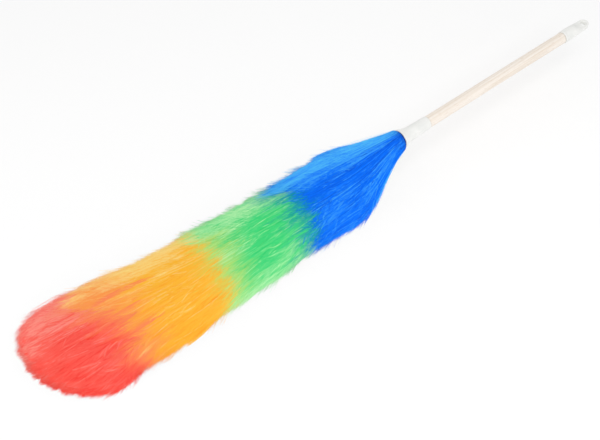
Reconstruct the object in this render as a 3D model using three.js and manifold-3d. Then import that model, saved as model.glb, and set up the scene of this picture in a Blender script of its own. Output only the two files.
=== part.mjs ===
// Fibre duster: a turned wooden handle with a hanging cap, joined by a plastic ferrule to a fibre head.
// The head is four bundles of long fibre, each bound on a core rod and lapping over the next towards the tip.
// Millimetres. The duster lies on its head with +Z up, the handle towards +X and the fibre tip towards -X.
import * as THREE from "three";
import { mergeVertices } from "three/addons/utils/BufferGeometryUtils.js";
import Module from "manifold-3d";

const wasm = await Module();
wasm.setup();

// Fits
const seatGap = 0.3; // between two pieces that seat on or in each other
const facets = 40; // flats round a turned piece

// Handle: a dowel with a tenon turned at each end
const handleDiameter = 12;
const gripLength = 190;
const tenonDiameter = 8.6;
const tenonLength = 14;
const edgeBreak = 0.6; // chamfer on the dowel's edges

// Ferrule: a sleeve that flares into a flange against the fibre
const sleeveDiameter = 12.8; // at the lip that meets the dowel
const waistDiameter = 13.8; // where the flare ends
const flangeDiameter = 19.5;
const flangeRim = 1.2; // straight edge of the flange
const flareLength = 9;
const ferruleWeb = 4.4; // solid wall between the two sockets

// Core rod that carries the bundles
const coreDiameter = 8;
const coreSeat = 12; // depth of the core in the ferrule

// Hanging cap: a sleeve that flattens into a tab with a hole
const capDiameter = 13.4;
const capWeb = 3.7; // solid wall past the handle's tenon
const rampLength = 6; // slope from the round sleeve down to the flat tab
const tabLength = 15;
const tabThickness = 5;
const hangHoleDiameter = 6.5;

// Fibre head: the sagging round form that the fibre tips lie on, by distance from the flange to the tip
const axisHeight = 46; // of the handle's axis above the surface that the head rests on
const collarRadius = 12.3;
const shoulderRadius = 38;
const shoulderAt = 90;
const fullRadius = 47.5;
const swellFrom = 150; // where the head starts to grow towards its full radius
const sag = 20; // how far the fibre hangs below the axis
const sagLift = 8; // part of the sag that is lost again near the tip
const liftFrom = 250;
const endLength = 36; // of the rounded end
const endSlant = 18; // how much earlier the underside of the end stops
const restCut = 0.5; // depth of the flat that the head rests on

// Bundles: fibre laid round the core as a thick sleeve, with a groove for its binding
const bundleRadius = 11.7;
const bundleEdge = 2; // rounding of the bundle's butt
const rootLength = 3; // of the strip that a row of locks grows from
const rootSpacing = 3;
const rootRelief = 0.6; // step down in front of a row, so that its locks lift clear of the bundle
const endRootSpacing = 14; // in the bundle at the tip, whose roots spread along the core
const grooveWidth = 7;
const grooveDepth = 2.2;
const bindingThickness = 1.6;
const noseRadii = [8, 4.5]; // of the last bundle's nose, where its inner locks grow
const noseHoleRadius = 1.2;
const noseWall = 2; // fibre between the core's end and the last row of roots

// Locks: fibres that cling together, in rows that lap like shingles
const locksAround = 24;
const reach = 118; // from the roots of a bundle's outer row to its tips
const rowPitch = 30; // between the tips of one row and the next
const rise = 0.8; // below 1 a lock leaves its bundle steeply and then levels off
const lockFill = 0.5; // share of the room above the next row that a lock takes
const lockWidth = 0.85; // share of its sector that a lock takes
const ringPitch = 45; // between the stations where every lock has a ring, which keeps the rows nested
const ringClear = 8; // least distance from such a station to a lock's root or tip
const endShares = [1, 0.95, 0.8, 0.55, 0.35, 0.15]; // of the full radius, at the tips on the rounded end
const endSkips = [1, 1, 1, 2, 2, 4]; // every lock, every second lock or every fourth lock of a row

// Bands that show, from the ferrule to the tip
const blueLength = 130;
const greenLength = 92;
const orangeLength = 100;
const redLength = 80;
const bands = [
  { name: "blue", length: blueLength, color: 0x1173f0 },
  { name: "green", length: greenLength, color: 0x47d780 },
  { name: "orange", length: orangeLength, color: 0xfdbb45 },
  { name: "red", length: redLength, color: 0xfd4c3f },
];

// Places along the axis, measured from the flange face towards the handle
const ferruleLength = coreSeat + seatGap + ferruleWeb + seatGap + tenonLength;
const gripStart = ferruleLength + seatGap;
const gripEnd = gripStart + gripLength;
const capStart = gripEnd + seatGap;
const capLength = tenonLength + seatGap + capWeb + rampLength + tabLength;
const headLength = bands.reduce((total, band) => total + band.length, 0);
const endStart = headLength - endLength;
const boreRadius = coreDiameter / 2 + seatGap;

// A closed mesh as a solid that can be cut
function solidOf(geometry) {
  const bare = geometry.clone();
  bare.deleteAttribute("normal");
  bare.deleteAttribute("uv");
  const merged = mergeVertices(bare);
  const vertProperties = new Float32Array(merged.attributes.position.array);
  const triVerts = new Uint32Array(merged.index.array);
  return new wasm.Manifold(new wasm.Mesh({ numProp: 3, vertProperties, triVerts }));
}

// A cut solid back as a geometry
function geometryOf(solid) {
  const mesh = solid.getMesh();
  const geometry = new THREE.BufferGeometry();
  geometry.setAttribute("position", new THREE.BufferAttribute(mesh.vertProperties, mesh.numProp));
  geometry.setIndex(new THREE.BufferAttribute(mesh.triVerts, 1));
  geometry.computeVertexNormals();
  return geometry;
}

// A piece turned about the handle's axis, from [radius, place along the axis] points
function turned(points) {
  const profile = points.map(([radius, along]) => new THREE.Vector2(radius, along));
  return new THREE.LatheGeometry(profile, facets).rotateZ(-Math.PI / 2);
}

function handleGeometry() {
  const radius = handleDiameter / 2;
  const tenon = tenonDiameter / 2;
  const front = gripStart - tenonLength;
  const back = gripEnd + tenonLength;
  return turned([
    [0, front],
    [tenon - edgeBreak, front],
    [tenon, front + edgeBreak],
    [tenon, gripStart],
    [radius - edgeBreak, gripStart],
    [radius, gripStart + edgeBreak],
    [radius, gripEnd - edgeBreak],
    [radius - edgeBreak, gripEnd],
    [tenon, gripEnd],
    [tenon, back - edgeBreak],
    [tenon - edgeBreak, back],
    [0, back],
  ]);
}

function ferruleGeometry() {
  const flange = flangeDiameter / 2;
  const waist = waistDiameter / 2;
  const socket = tenonDiameter / 2 + seatGap;
  const coreFloor = coreSeat + seatGap;
  const tenonFloor = coreFloor + ferruleWeb;
  const flare = new THREE.QuadraticBezierCurve(
    new THREE.Vector2(flange, flangeRim),
    new THREE.Vector2(waist, flangeRim),
    new THREE.Vector2(waist, flareLength),
  );
  return turned([
    [0, coreFloor],
    [boreRadius, coreFloor],
    [boreRadius, 0],
    [flange, 0],
    ...flare.getPoints(8).map((point) => [point.x, point.y]),
    [sleeveDiameter / 2, ferruleLength],
    [socket, ferruleLength],
    [socket, tenonFloor],
    [0, tenonFloor],
  ]);
}

function coreGeometry(end) {
  const radius = coreDiameter / 2;
  const rounding = new THREE.EllipseCurve(0, radius - end, radius, radius, -Math.PI / 2, 0);
  return turned([
    ...rounding.getPoints(6).map((point) => [point.x, point.y]),
    [radius, coreSeat - edgeBreak],
    [radius - edgeBreak, coreSeat],
    [0, coreSeat],
  ]);
}

// The block that is cut away above the tab, with its sloping front
function tabRelief(upwards) {
  const radius = capDiameter / 2;
  const half = tabThickness / 2;
  const tabStart = capStart + capLength - tabLength;
  const clear = radius + half;
  const outline = new THREE.Shape([
    new THREE.Vector2(tabStart - rampLength, radius),
    new THREE.Vector2(tabStart, half),
    new THREE.Vector2(tabStart + tabLength + half, half),
    new THREE.Vector2(tabStart + tabLength + half, clear),
    new THREE.Vector2(tabStart - rampLength, clear),
  ]);
  const block = new THREE.ExtrudeGeometry(outline, { depth: 2 * clear, bevelEnabled: false });
  block.translate(0, 0, -clear).rotateX(Math.PI / 2);
  return upwards ? block : block.rotateX(Math.PI);
}

function capGeometry() {
  const radius = capDiameter / 2;
  const capEnd = capStart + capLength;
  const socket = tenonDiameter / 2 + seatGap;
  const socketFloor = gripEnd + tenonLength + seatGap;
  const rounding = new THREE.EllipseCurve(0, capEnd - radius, radius, radius, 0, Math.PI / 2);
  const body = turned([
    [0, socketFloor],
    [socket, socketFloor],
    [socket, capStart],
    [radius, capStart],
    ...rounding.getPoints(10).map((point) => [point.x, point.y]),
  ]);
  const hole = new THREE.CylinderGeometry(hangHoleDiameter / 2, hangHoleDiameter / 2, capDiameter, facets);
  hole.rotateX(Math.PI / 2).translate(capEnd - radius, 0, 0);
  const cuts = [tabRelief(true), tabRelief(false), hole];
  return geometryOf(cuts.reduce((solid, cut) => solid.subtract(solidOf(cut)), solidOf(body)));
}

// Distance from the axis to the outside of the head, at an angle from straight up.
// The surface that the head rests on limits what hangs down.
function envelope(along, angle) {
  const shoulder = THREE.MathUtils.smoothstep(along, 0, shoulderAt);
  const swell = THREE.MathUtils.smoothstep(along, swellFrom, endStart);
  const lift = THREE.MathUtils.smoothstep(along, liftFrom, headLength);
  const flared = collarRadius + (shoulderRadius - collarRadius) * shoulder;
  const radius = flared + (fullRadius - shoulderRadius) * swell;
  const drop = sag * shoulder - sagLift * lift;
  const round = Math.sqrt(radius ** 2 - (drop * Math.sin(angle)) ** 2) - drop * Math.cos(angle);
  const down = -Math.cos(angle);
  return down * round > axisHeight + restCut ? (axisHeight + restCut) / down : round;
}

// Where a row's tips end at an angle round the head
function tipStation(row, angle) {
  return row.tip - (row.slant * (1 - Math.cos(angle))) / 2;
}

// Distance from the axis to the back of a lock
function lockTop(row, along, angle) {
  const share = Math.max(0, (along - row.root) / (tipStation(row, angle) - row.root));
  return row.rootRadius + (row.share * envelope(along, angle) - row.rootRadius) * share ** rise;
}

// Distance from the axis to the underside of a lock, clear of the row that lies below it
function lockUnder(row, along, angle) {
  const top = lockTop(row, along, angle);
  const below = row.next && along > row.next.root ? lockTop(row.next, along, angle) : row.rootRadius;
  return top - lockFill * (top - below);
}

// One bundle: its rows of locks and the closed profile of its sleeve, from the butt round to the bore
function layOut(band, bandEnd, isFirst, isLast) {
  const tips = isLast
    ? endShares.map((share) => endStart + endLength * Math.sqrt(1 - share ** 2))
    : [2, 1, 0].map((back) => bandEnd - back * rowPitch);
  const start = isFirst ? seatGap : tips[0] - reach;
  const spacing = isLast ? endRootSpacing : rootSpacing;
  const grooveStart = start + bundleEdge + rootLength;
  const grooveEnd = grooveStart + grooveWidth;
  const rows = tips.map((tip, index) => ({
    tip,
    root: index === 0 ? start + bundleEdge : grooveEnd + (index - 1) * (rootLength + spacing) + spacing,
    rootRadius: isLast ? noseRadii[index - tips.length + noseRadii.length] ?? bundleRadius : bundleRadius,
    share: isLast ? endShares[index] : 1,
    skip: isLast ? endSkips[index] : 1,
    slant: isLast ? endSlant : 0,
  }));
  const [outerRow, ...innerRows] = rows;
  const lastRow = rows[rows.length - 1];
  const end = lastRow.root + rootLength + rootSpacing;
  const coreEnd = lastRow.root - noseWall;
  const profile = [
    { along: start, radius: boreRadius },
    { along: start, radius: bundleRadius - bundleEdge },
    { along: outerRow.root, radius: bundleRadius, row: outerRow },
    { along: grooveStart, radius: bundleRadius },
    { along: grooveStart, radius: bundleRadius - grooveDepth },
    { along: grooveEnd, radius: bundleRadius - grooveDepth },
    { along: grooveEnd, radius: bundleRadius },
    ...innerRows.flatMap((row) => [
      { along: row.root, radius: row.rootRadius, row },
      { along: row.root + rootLength, radius: row.rootRadius },
      { along: row.root + rootLength + rootSpacing / 2, radius: row.rootRadius - rootRelief },
    ]),
    ...(isLast ? [{ along: end, radius: noseHoleRadius }] : []),
    { along: isLast ? coreEnd : end, radius: boreRadius },
  ];
  return { ...band, rows, profile, grooveStart, coreEnd };
}

// The stations that a lock has rings at
function ringStations(root, tip) {
  const count = Math.floor(headLength / ringPitch);
  const stations = Array.from({ length: count }, (_, index) => (index + 1) * ringPitch);
  return stations.filter((along) => along > root + ringClear && along < tip - ringClear);
}

// A point at a distance along the head, a distance from the axis and an angle from straight up
function headPoint(along, radius, angle) {
  return [-along, radius * Math.sin(angle), radius * Math.cos(angle)];
}

// A bundle's sleeve with its locks growing out of it, cut flat where the head rests
function tuftGeometry({ profile }) {
  const points = [];
  const triangles = [];
  const sector = (2 * Math.PI) / locksAround;
  const addPoint = (along, radius, angle) => points.push(headPoint(along, radius, angle)) - 1;
  const rings = profile.map(({ along, radius }, ring) => {
    const turn = ((ring % 2) / 2) * sector;
    const angles = Array.from({ length: locksAround }, (_, column) => column * sector + turn);
    return angles.map((angle) => addPoint(along, radius, angle));
  });
  const wrap = (ring, column) => ring[(column + locksAround) % locksAround];

  const addLock = (row, base, angle) => {
    const tip = tipStation(row, angle);
    const half = (lockWidth * sector) / 2;
    let from = base;
    for (const along of ringStations(row.root, tip)) {
      const to = [
        addPoint(along, lockTop(row, along, angle), angle),
        addPoint(along, lockUnder(row, along, angle + half), angle + half),
        addPoint(along, lockUnder(row, along, angle - half), angle - half),
      ];
      for (const [side, next] of [[0, 1], [1, 2], [2, 0]]) {
        triangles.push(from[side], from[next], to[next], from[side], to[next], to[side]);
      }
      from = to;
    }
    const point = addPoint(tip, lockTop(row, tip, angle), angle);
    triangles.push(from[0], from[1], point, from[1], from[2], point, from[2], from[0], point);
  };

  profile.forEach(({ row }, index) => {
    const back = rings[index];
    const front = rings[(index + 1) % rings.length];
    const shift = index % 2;
    for (let column = 0; column < locksAround; column += 1) {
      const base = [back[column], wrap(front, column + shift), wrap(front, column + shift - 1)];
      triangles.push(back[column], wrap(back, column + 1), base[1]);
      if (row && column % row.skip === 0) {
        addLock(row, base, (column + shift / 2) * sector);
      } else {
        triangles.push(...base);
      }
    }
  });

  const geometry = new THREE.BufferGeometry();
  geometry.setAttribute("position", new THREE.Float32BufferAttribute(points.flat(), 3));
  geometry.setIndex(triangles);
  const surface = new THREE.BoxGeometry(4 * headLength, 4 * fullRadius, fullRadius);
  surface.translate(0, 0, -axisHeight - fullRadius / 2);
  return geometryOf(solidOf(geometry).subtract(solidOf(surface)));
}

// The binding that lies in a bundle's groove
function bindingGeometry({ grooveStart }) {
  const inner = bundleRadius - grooveDepth + seatGap;
  const outer = inner + bindingThickness;
  const front = -grooveStart - seatGap;
  const back = -grooveStart - grooveWidth + seatGap;
  const round = bindingThickness / 2;
  return turned([
    [inner, back],
    [outer - round, back],
    [outer, back + round],
    [outer, front - round],
    [outer - round, front],
    [inner, front],
    [inner, back],
  ]);
}

let bandEnd = 0;
const bundles = bands.map((band, index) => {
  bandEnd += band.length;
  return layOut(band, bandEnd, index === 0, index === bands.length - 1);
});
const rows = bundles.flatMap((bundle) => bundle.rows);
rows.forEach((row, index) => {
  row.next = rows[index + 1];
});

const wood = { color: 0xeadfce, roughness: 0.55, metalness: 0 };
const whitePlastic = { color: 0xf0f0ec, roughness: 0.4, metalness: 0 };
const greyPlastic = { color: 0xc9ccd0, roughness: 0.5, metalness: 0 };
const thread = { color: 0xe6e2d8, roughness: 0.8, metalness: 0 };

const duster = new THREE.Group();
const addPiece = (name, geometry, finish) => {
  const piece = new THREE.Mesh(geometry, new THREE.MeshStandardMaterial(finish));
  piece.name = name;
  duster.add(piece);
};
addPiece("handle", handleGeometry(), wood);
addPiece("end_cap", capGeometry(), whitePlastic);
addPiece("ferrule", ferruleGeometry(), whitePlastic);
addPiece("core_rod", coreGeometry(bundles[bundles.length - 1].coreEnd - seatGap), greyPlastic);
for (const bundle of bundles) {
  const fibre = { color: bundle.color, roughness: 0.5, metalness: 0 };
  addPiece(`${bundle.name}_tuft`, tuftGeometry(bundle), fibre);
  addPiece(`${bundle.name}_binding`, bindingGeometry(bundle), thread);
}

// The middle of the whole length stands over the origin, with the rest flats at the height of the origin
const tipReach = Math.max(...rows.map((row) => row.tip));
duster.position.set((tipReach - capStart - capLength) / 2, 0, axisHeight);

export default duster;
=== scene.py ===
"""Looks of a long-fibre duster: a fluffy banded head, a white ferrule, a wooden handle and a hanging cap.

Metres. The duster lies on its head with +Z up, the handle towards +X and the fibre tip towards -X.
"""

import logging
import math
from dataclasses import dataclass, fields
from enum import Enum

import bmesh
import bpy
import numpy as np
from mathutils import Matrix, Vector


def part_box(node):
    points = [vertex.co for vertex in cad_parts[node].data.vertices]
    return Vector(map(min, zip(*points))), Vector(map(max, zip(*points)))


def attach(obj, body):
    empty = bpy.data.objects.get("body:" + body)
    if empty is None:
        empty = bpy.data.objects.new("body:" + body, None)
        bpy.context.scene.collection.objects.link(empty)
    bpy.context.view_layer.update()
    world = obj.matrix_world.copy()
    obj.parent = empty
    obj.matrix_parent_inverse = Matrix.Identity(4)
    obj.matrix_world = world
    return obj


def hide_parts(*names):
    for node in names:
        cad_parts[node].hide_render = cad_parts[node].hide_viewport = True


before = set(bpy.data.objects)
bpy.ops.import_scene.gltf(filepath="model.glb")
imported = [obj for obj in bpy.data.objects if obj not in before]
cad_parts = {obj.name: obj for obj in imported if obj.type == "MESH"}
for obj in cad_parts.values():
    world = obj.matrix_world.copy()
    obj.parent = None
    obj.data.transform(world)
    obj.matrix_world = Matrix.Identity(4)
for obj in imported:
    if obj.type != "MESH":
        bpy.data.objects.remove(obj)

BODY = "root"
FIBRE_MAP = "OFBake"
MERGE_DISTANCE = 1e-7
SKIN_MERGE_DISTANCE = 1e-6
FULL_TURN = 2 * math.pi
GOLDEN_TURN = math.pi * (3 - math.sqrt(5))
PLACE_RANGE = (0.005, 0.995)
SHADE_RANGE = (0.02, 0.98)
PLAIN_SHADE = 0.5
NOISE_RANGE = (0.3, 0.7)
Colour = tuple[float, float, float, float]

log = logging.getLogger("duster")


def srgb(red: int, green: int, blue: int) -> Colour:
    """Gives a linear colour for screen values.

    Args:
        red: Red from 0 to 255.
        green: Green from 0 to 255.
        blue: Blue from 0 to 255.

    Returns:
        The linear colour with full alpha.
    """
    toe, slope, offset, power = 0.04045, 12.92, 0.055, 2.4
    shares = [value / 255 for value in (red, green, blue)]
    linear = [x / slope if x <= toe else ((x + offset) / (1 + offset)) ** power for x in shares]
    return (*linear, 1.0)


def smoothstep(values: np.ndarray, low: float, high: float) -> np.ndarray:
    """Eases values from 0 at low to 1 at high.

    Args:
        values: What to ease.
        low: Where the result leaves 0.
        high: Where the result reaches 1.

    Returns:
        Eased values of the same shape.
    """
    share = np.clip((values - low) / (high - low), 0.0, 1.0)
    return share * share * (3 - 2 * share)


def spun(
    points: list[tuple[float, float, float]],
    centre: tuple[float, float, float],
    axis: tuple[float, float, float],
    steps: int,
) -> bmesh.types.BMesh:
    """Turns a line of points about an axis into a closed shape.

    Args:
        points: The points, the first and the last on the axis.
        centre: A point of the axis.
        axis: Its direction.
        steps: Sides of the shape.

    Returns:
        The shape.
    """
    shape = bmesh.new()
    verts = [shape.verts.new(point) for point in points]
    edges = [shape.edges.new(pair) for pair in zip(verts, verts[1:])]
    bmesh.ops.spin(
        shape, geom=verts + edges, cent=centre, axis=axis, angle=FULL_TURN, steps=steps, use_merge=True,
    )
    bmesh.ops.remove_doubles(shape, verts=shape.verts[:], dist=MERGE_DISTANCE)
    bmesh.ops.recalc_face_normals(shape, faces=shape.faces[:])
    return shape


def smooth_mesh(name: str, shape: bmesh.types.BMesh) -> bpy.types.Mesh:
    """Makes a smooth mesh of a shape.

    Args:
        name: The mesh's name.
        shape: The shape, which is used up.

    Returns:
        The mesh.
    """
    mesh = bpy.data.meshes.new(name)
    shape.to_mesh(mesh)
    shape.free()
    mesh.polygons.foreach_set("use_smooth", np.ones(len(mesh.polygons), dtype=bool))
    return mesh


class Shader:
    """A node tree with short ways to add, set and join nodes."""

    def __init__(self, tree: bpy.types.NodeTree) -> None:
        """Keeps the tree that the nodes go into."""
        self.tree = tree

    @classmethod
    def of_new_material(cls, name: str) -> tuple[bpy.types.Material, "Shader"]:
        """Starts a material.

        Args:
            name: The material's name.

        Returns:
            The material and its shader.
        """
        material = bpy.data.materials.new(name)
        material.use_nodes = True
        return material, cls(material.node_tree)

    def surface(self, inputs: dict) -> None:
        """Feeds the material's own surface.

        Args:
            inputs: Values or outputs by the name of the surface's input.
        """
        sockets = self.tree.nodes["Principled BSDF"].inputs
        for name, value in inputs.items():
            self.feed(sockets[name], value)

    def feed(self, socket: bpy.types.NodeSocket, value: object) -> None:
        """Joins an output to a socket, or sets the socket's own value.

        Args:
            socket: The input to feed.
            value: An output socket, a number, a vector or a colour.
        """
        if isinstance(value, bpy.types.NodeSocket):
            self.tree.links.new(value, socket)
        else:
            socket.default_value = value

    def add(self, kind: str, settings: dict | None = None, inputs: dict | None = None) -> bpy.types.Node:
        """Adds a node.

        Args:
            kind: The node's type without its ShaderNode prefix.
            settings: Properties of the node by name.
            inputs: Values or outputs by the input's name or number.

        Returns:
            The new node.
        """
        node = self.tree.nodes.new(kind if kind.startswith("NodeGroup") else f"ShaderNode{kind}")
        for name, value in (settings or {}).items():
            setattr(node, name, value)
        for name, value in (inputs or {}).items():
            self.feed(node.inputs[name], value)
        return node

    def mix(self, share: object, first: object, second: object) -> bpy.types.NodeSocket:
        """Mixes two colours.

        Args:
            share: How much of the second colour shows.
            first: A colour or an output.
            second: A colour or an output.

        Returns:
            The mixed colour.
        """
        return self.add("Mix", {"data_type": "RGBA"}, {0: share, 6: first, 7: second}).outputs[2]

    def math(self, operation: str, first: object, second: object = 0.0) -> bpy.types.NodeSocket:
        """Works out a number.

        Args:
            operation: The node's operation.
            first: A number or an output.
            second: A number or an output.

        Returns:
            The result.
        """
        return self.add("Math", {"operation": operation}, {0: first, 1: second}).outputs[0]

    def ease(self, value: object, span: tuple[float, float], to: tuple[float, float]) -> bpy.types.NodeSocket:
        """Eases a number from one range into another.

        Args:
            value: A number or an output.
            span: Where the change starts and ends.
            to: The result before and after the span.

        Returns:
            The eased number.
        """
        inputs = {"Value": value, 1: span[0], 2: span[1], 3: to[0], 4: to[1]}
        return self.add("MapRange", {"interpolation_type": "SMOOTHSTEP"}, inputs).outputs[0]

    def stretched(self, place: object, scale: tuple[float, float, float]) -> bpy.types.NodeSocket:
        """Stretches coordinates.

        Args:
            place: The coordinates.
            scale: The factor on each axis.

        Returns:
            The stretched coordinates.
        """
        return self.add("VectorMath", {"operation": "MULTIPLY"}, {0: place, 1: scale}).outputs[0]

    def noise(self, place: object, scale: float, detail: float = 2.0) -> bpy.types.NodeSocket:
        """Adds soft noise from 0 to 1.

        Args:
            place: The coordinates that it reads.
            scale: Its fineness.
            detail: Its layers of finer noise.

        Returns:
            The noise value.
        """
        return self.add("TexNoise", None, {"Vector": place, "Scale": scale, "Detail": detail}).outputs[0]

    def bump(
        self, height: object, strength: float, distance: float, invert: bool = False,
    ) -> bpy.types.NodeSocket:
        """Tilts the surface by a height.

        Args:
            height: The height as an output.
            strength: How much of the tilt shows.
            distance: What a height of 1 stands for.
            invert: Whether high is low.

        Returns:
            The tilted normal.
        """
        inputs = {"Strength": strength, "Distance": distance, "Height": height}
        return self.add("Bump", {"invert": invert}, inputs).outputs[0]


class NodeGroups:
    """Shader effects that more than one finish uses."""

    @staticmethod
    def start(name: str, numbers: dict, colours: dict, outputs: dict) -> tuple[Shader, dict, bpy.types.Node]:
        """Starts a group with its sockets.

        Args:
            name: The group's name.
            numbers: Number inputs with their values.
            colours: Colour inputs with their values.
            outputs: Output names with their socket types.

        Returns:
            The group's shader, its input sockets by name and its output node.
        """
        tree = bpy.data.node_groups.new(name, "ShaderNodeTree")
        sockets = [(key, "NodeSocketFloat", value) for key, value in numbers.items()]
        sockets += [(key, "NodeSocketColor", value) for key, value in colours.items()]
        for key, kind, value in sockets:
            tree.interface.new_socket(key, in_out="INPUT", socket_type=kind).default_value = value
        for key, kind in outputs.items():
            tree.interface.new_socket(key, in_out="OUTPUT", socket_type=kind)
        shader = Shader(tree)
        given = shader.add("NodeGroupInput").outputs
        return shader, {key: given[key] for key, _, _ in sockets}, shader.add("NodeGroupOutput")

    @staticmethod
    def fibre_streaks() -> bpy.types.NodeTree:
        """Builds the colour of a fibre by its place in the band and its shade.

        Returns:
            The node group.
        """
        name = "fibre_streaks"
        if name in bpy.data.node_groups:
            return bpy.data.node_groups[name]
        white = (1.0, 1.0, 1.0, 1.0)
        shader, given, out = NodeGroups.start(
            name,
            {"Place": 0.5, "Shade": 0.5, "Start Span": 0.2, "End Span": 0.2},
            {"Deep": white, "Main": white, "Pale": white, "Start": white, "End": white},
            {"Color": "NodeSocketColor", "Roughness": "NodeSocketFloat"},
        )
        streaks_along, streaks_across, streak_swing = 5.0, 160.0, 0.3
        # The shade holds each strand's tone and the painted light of the head's sides; paler strands also
        # tint the border colours pale.
        border_paleness, most_start, most_end = 0.75, 0.97, 0.82
        place = shader.add("CombineXYZ", None, {
            0: shader.math("MULTIPLY", given["Place"], streaks_along),
            1: shader.math("MULTIPLY", given["Shade"], streaks_across),
        }).outputs[0]
        streak = shader.noise(place, 1.0)
        swing = shader.math("MULTIPLY", shader.math("SUBTRACT", streak, 0.5), streak_swing)
        shade = shader.math("ADD", given["Shade"], swing)
        body = shader.mix(shader.ease(shade, (0.05, 0.5), (0.0, 1.0)), given["Deep"], given["Main"])
        paleness = shader.ease(shade, (0.6, 1.0), (0.0, 1.0))
        body = shader.mix(paleness, body, given["Pale"])
        tint = shader.math("MULTIPLY", paleness, border_paleness)
        past = shader.math("DIVIDE", given["Place"], given["Start Span"])
        start = shader.mix(tint, given["Start"], given["Pale"])
        body = shader.mix(shader.ease(past, (0.0, 1.0), (most_start, 0.0)), body, start)
        left = shader.math("DIVIDE", shader.math("SUBTRACT", 1.0, given["Place"]), given["End Span"])
        end = shader.mix(tint, given["End"], given["Pale"])
        body = shader.mix(shader.ease(left, (0.0, 1.0), (most_end, 0.0)), body, end)
        shader.feed(out.inputs["Color"], body)
        shader.feed(out.inputs["Roughness"], shader.ease(streak, (0.2, 0.8), (0.36, 0.52)))
        return shader.tree


@dataclass(frozen=True)
class FibreFinish:
    """Glossy plastic fibre with darker and paler strands, mixed at its borders with the colours beside it."""

    slot: str
    deep: Colour
    main: Colour
    pale: Colour
    start: Colour
    end: Colour
    start_span: float = 0.2
    end_span: float = 0.2
    sheen: float = 0.04
    sheen_roughness: float = 0.4
    gloss: float = 0.12

    def material(self) -> bpy.types.Material:
        """Builds the finish.

        Returns:
            The material.
        """
        material, shader = Shader.of_new_material(self.slot)
        place = shader.add("UVMap", {"uv_map": FIBRE_MAP}).outputs[0]
        split = shader.add("SeparateXYZ", None, {0: place}).outputs
        streaks = shader.add("Group", {"node_tree": NodeGroups.fibre_streaks()}, {
            "Place": split[0],
            "Shade": split[1],
            "Start Span": self.start_span,
            "End Span": self.end_span,
            "Deep": self.deep,
            "Main": self.main,
            "Pale": self.pale,
            "Start": self.start,
            "End": self.end,
        }).outputs
        shader.surface({
            "Base Color": streaks["Color"],
            "Roughness": streaks["Roughness"],
            "Specular IOR Level": self.gloss,
            "Sheen Weight": self.sheen,
            "Sheen Roughness": self.sheen_roughness,
            "Sheen Tint": self.pale,
        })
        return material


@dataclass(frozen=True)
class WoodFinish:
    """Pale sanded wood with long grain, growth rings and small ray flecks."""

    slot: str
    early: Colour
    late: Colour
    fleck: Colour
    ring_pitch: float = 0.0024
    ring_waver: float = 5.0
    ring_stretch: tuple[float, float, float] = (0.05, 1.0, 1.0)
    heart: tuple[float, float, float] = (0.0, 0.026, 0.036)
    grain_scale: tuple[float, float, float] = (14.0, 900.0, 900.0)
    fleck_scale: tuple[float, float, float] = (170.0, 2400.0, 2400.0)
    relief: tuple[float, float] = (0.25, 0.0002)

    def material(self) -> bpy.types.Material:
        """Builds the finish.

        Returns:
            The material.
        """
        material, shader = Shader.of_new_material(self.slot)
        place = shader.add("TexCoord").outputs["Object"]
        grain = shader.noise(shader.stretched(place, self.grain_scale), 1.0, 3.0)
        fleck = shader.noise(shader.stretched(place, self.fleck_scale), 1.0, 1.0)
        away = shader.add("VectorMath", {"operation": "SUBTRACT"}, {0: place, 1: self.heart}).outputs[0]
        flat = shader.stretched(away, self.ring_stretch)
        reach = shader.add("VectorMath", {"operation": "LENGTH"}, {0: flat}).outputs["Value"]
        turns = shader.math("MULTIPLY", reach, FULL_TURN / self.ring_pitch)
        waver = shader.math("MULTIPLY", grain, self.ring_waver)
        wave = shader.math("SINE", shader.math("ADD", turns, waver))
        rings = shader.ease(wave, (-0.6, 1.0), (0.0, 0.45))
        streaks = shader.ease(grain, (0.3, 0.75), (0.0, 0.55))
        body = shader.mix(shader.math("ADD", rings, streaks), self.early, self.late)
        dash = shader.ease(fleck, (0.62, 0.74), (0.0, 0.5))
        shader.surface({
            "Base Color": shader.mix(dash, body, self.fleck),
            "Roughness": shader.ease(grain, NOISE_RANGE, (0.5, 0.62)),
            "Normal": shader.bump(shader.math("SUBTRACT", grain, dash), *self.relief),
        })
        return material


@dataclass(frozen=True)
class MouldedFinish:
    """Moulded plastic with a faint cloudiness and a fine satin texture."""

    slot: str
    clear: Colour
    cloudy: Colour
    roughness: tuple[float, float] = (0.38, 0.5)
    cloud_scale: float = 110.0
    satin_scale: float = 2600.0
    relief: tuple[float, float] = (0.08, 0.0001)

    def material(self) -> bpy.types.Material:
        """Builds the finish.

        Returns:
            The material.
        """
        material, shader = Shader.of_new_material(self.slot)
        place = shader.add("TexCoord").outputs["Object"]
        clouds = shader.noise(place, self.cloud_scale, 3.0)
        satin = shader.noise(place, self.satin_scale, 1.0)
        shader.surface({
            "Base Color": shader.mix(shader.ease(clouds, NOISE_RANGE, (0.0, 1.0)), self.clear, self.cloudy),
            "Roughness": shader.ease(clouds, NOISE_RANGE, self.roughness),
            "Normal": shader.bump(satin, *self.relief),
        })
        return material


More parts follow.
